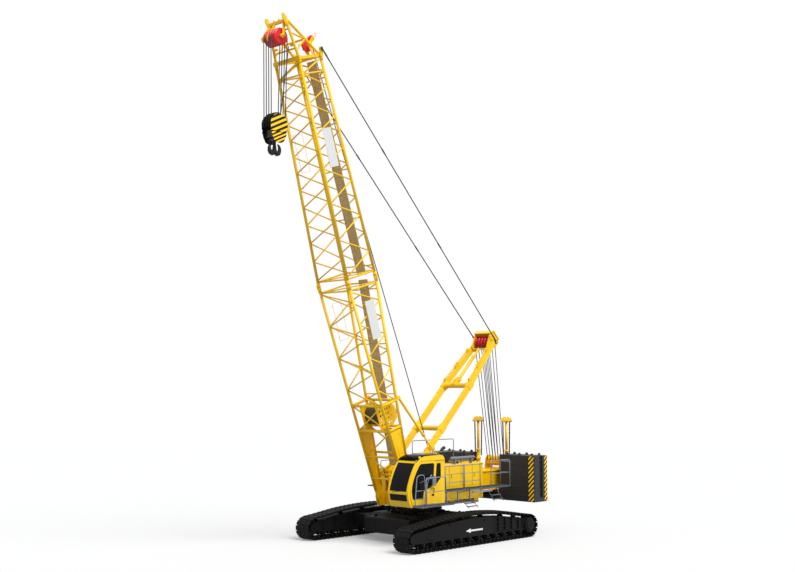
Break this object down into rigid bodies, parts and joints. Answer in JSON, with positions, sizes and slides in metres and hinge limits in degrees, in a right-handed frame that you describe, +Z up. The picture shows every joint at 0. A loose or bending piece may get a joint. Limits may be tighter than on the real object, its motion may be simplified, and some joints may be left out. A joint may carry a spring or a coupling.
{
  "type": "crawler crane",
  "caption": "Crawler crane with a lattice boom, mast and pendants, hook block on falls, cab, winches, counterweight stacks and crawler tracks.",
  "frame": {"origin": "on the ground under the slew axis", "axes": "+X forward along the boom, +Y to the machine's left, +Z up along the slew axis"},
  "size_m": [14.3277, 6.68, 21.2557],
  "materials": {
    "crane_yellow": "gloss",
    "black_paint": "satin",
    "ballast_grey": "matt",
    "track_steel": "worn",
    "sheave_red": "satin",
    "rail_grey": "satin",
    "tinted_glass": "polished",
    "rope_steel": "greased",
    "mesh_tan": "matt",
    "seat_fabric": "woven",
    "console_plastic": "moulded",
    "engine_grey": "matt"
  },
  "bodies": {
    "undercarriage": {"carbody": "black_paint", "carbody_weight_front": "black_paint", "carbody_weight_rear": "black_paint", "left_track_frame": "black_paint", "right_track_frame": "black_paint", "left_track": "track_steel", "right_track": "track_steel", "left_idler_wheel": "black_paint", "right_idler_wheel": "black_paint", "left_drive_sprocket": "black_paint", "right_drive_sprocket": "black_paint", "slew_ring": "black_paint"},
    "upperworks": {"cab_left_quarter_window": "tinted_glass", "cab_lower_window": "tinted_glass", "cab_rear_window": "tinted_glass", "cab_right_quarter_window": "tinted_glass", "cab_right_window": "tinted_glass", "cab_roof_window": "tinted_glass", "cab_shell": "crane_yellow", "cab_walkway": "rail_grey", "cab_windshield": "tinted_glass", "control_console": "console_plastic", "counterweight_tray": "ballast_grey", "engine_block": "engine_grey", "left_counterweight_stack": "ballast_grey", "left_lift_cylinder": "crane_yellow", "left_machinery_housing": "crane_yellow", "left_walkway": "rail_grey", "luffing_sheave_block": "crane_yellow", "operator_seat": "seat_fabric", "right_counterweight_stack": "ballast_grey", "right_lift_cylinder": "crane_yellow", "right_machinery_housing": "crane_yellow", "right_walkway": "rail_grey", "roof_handrail": "rail_grey", "turntable_frame": "crane_yellow", "winch_frame": "crane_yellow"},
    "cab_door": {"cab_door": "crane_yellow", "cab_door_window": "tinted_glass"},
    "hoist_winch_drum": {"hoist_winch_drum": "crane_yellow"},
    "luffing_winch_drum": {"luffing_winch_drum": "crane_yellow"},
    "auxiliary_winch_drum": {"auxiliary_winch_drum": "crane_yellow"},
    "luffing_block_sheaves": {"luffing_block_sheaves": "sheave_red"},
    "mast": {"mast": "crane_yellow"},
    "mast_head_sheaves": {"mast_head_sheaves": "sheave_red"},
    "pendants": {"left_pendant": "rope_steel", "right_pendant": "rope_steel"},
    "boom": {"boom_base_section": "crane_yellow", "boom_top_section": "crane_yellow", "boom_base_walkway": "mesh_tan", "boom_top_walkway": "mesh_tan", "boom_head": "crane_yellow", "left_backstop": "crane_yellow", "right_backstop": "crane_yellow"},
    "head_sheaves": {"head_sheaves": "sheave_red"},
    "falls": {"front_hoist_falls": "rope_steel", "rear_hoist_falls": "rope_steel"},
    "hook_block": {"hook_block": "black_paint"},
    "hook_block_sheaves": {"hook_block_sheaves": "black_paint"},
    "hook": {"hook": "black_paint"}
  },
  "joints": [
    {"name": "slew", "type": "hinge", "parent": "undercarriage", "child": "upperworks", "pos_m": [0, 0, 1.45], "axis": [0, 0, 1], "continuous": true},
    {"name": "cab_door_slide", "type": "slide", "parent": "upperworks", "child": "cab_door", "axis": [1, 0, 0], "range_m": [-0.62, 0]},
    {"name": "hoist_drum_spin", "type": "hinge", "parent": "upperworks", "child": "hoist_winch_drum", "pos_m": [-1.43, 0, 2.61], "axis": [0, 1, 0], "continuous": true},
    {"name": "luffing_drum_spin", "type": "hinge", "parent": "upperworks", "child": "luffing_winch_drum", "pos_m": [-0.33, 0, 2.57], "axis": [0, 1, 0], "continuous": true},
    {"name": "luffing_block_spin", "type": "hinge", "parent": "upperworks", "child": "luffing_block_sheaves", "pos_m": [-5.33, 0, 3.08], "axis": [0, 1, 0], "continuous": true},
    {"name": "boom_luff", "type": "hinge", "parent": "upperworks", "child": "boom", "pos_m": [1.443, 0, 1.841], "axis": [0, 1, 0], "range_deg": [-7.5, 42.5]},
    {"name": "mast_luff", "type": "hinge", "parent": "upperworks", "child": "mast", "pos_m": [1.03, 0, 2.95], "axis": [0, 1, 0], "range_deg": [-8.6, 48.7]},
    {"name": "mast_sheaves_spin", "type": "hinge", "parent": "mast", "child": "mast_head_sheaves", "pos_m": [-4.59857, 0, 8.59271], "axis": [0, 1, 0], "continuous": true},
    {"name": "pendant_swing", "type": "hinge", "parent": "mast", "child": "pendants", "pos_m": [-4.71171, 0, 8.60685], "axis": [0, 1, 0], "range_deg": [-6.1, 1.1]},
    {"name": "auxiliary_drum_spin", "type": "hinge", "parent": "boom", "child": "auxiliary_winch_drum", "pos_m": [2.11296, 0, 5.40415], "axis": [0, 1, 0], "continuous": true},
    {"name": "head_sheaves_spin", "type": "hinge", "parent": "boom", "child": "head_sheaves", "pos_m": [8.23766, 0, 20.3239], "axis": [0, 1, 0], "continuous": true},
    {"name": "falls_swing", "type": "hinge", "parent": "boom", "child": "falls", "pos_m": [8.23766, 0, 20.3239], "axis": [0, 1, 0], "range_deg": [-42.5, 7.5]},
    {"name": "hook_hoist", "type": "slide", "parent": "falls", "child": "hook_block", "axis": [0, 0, 1], "range_m": [-15, 1.8], "deforming": ["front_hoist_falls", "rear_hoist_falls"]},
    {"name": "block_sheaves_spin", "type": "hinge", "parent": "hook_block", "child": "hook_block_sheaves", "pos_m": [8.23766, 0, 16.9], "axis": [0, 1, 0], "continuous": true},
    {"name": "hook_swivel", "type": "hinge", "parent": "hook_block", "child": "hook", "pos_m": [8.23766, 0, 15.84], "axis": [0, 0, 1], "continuous": true}
  ],
  "couplings": [
    {"joint": "mast_luff", "follows": "boom_luff", "ratio": 1.143},
    {"joint": "pendant_swing", "follows": "boom_luff", "ratio": -0.14},
    {"joint": "falls_swing", "follows": "boom_luff", "ratio": -1}
  ]
}
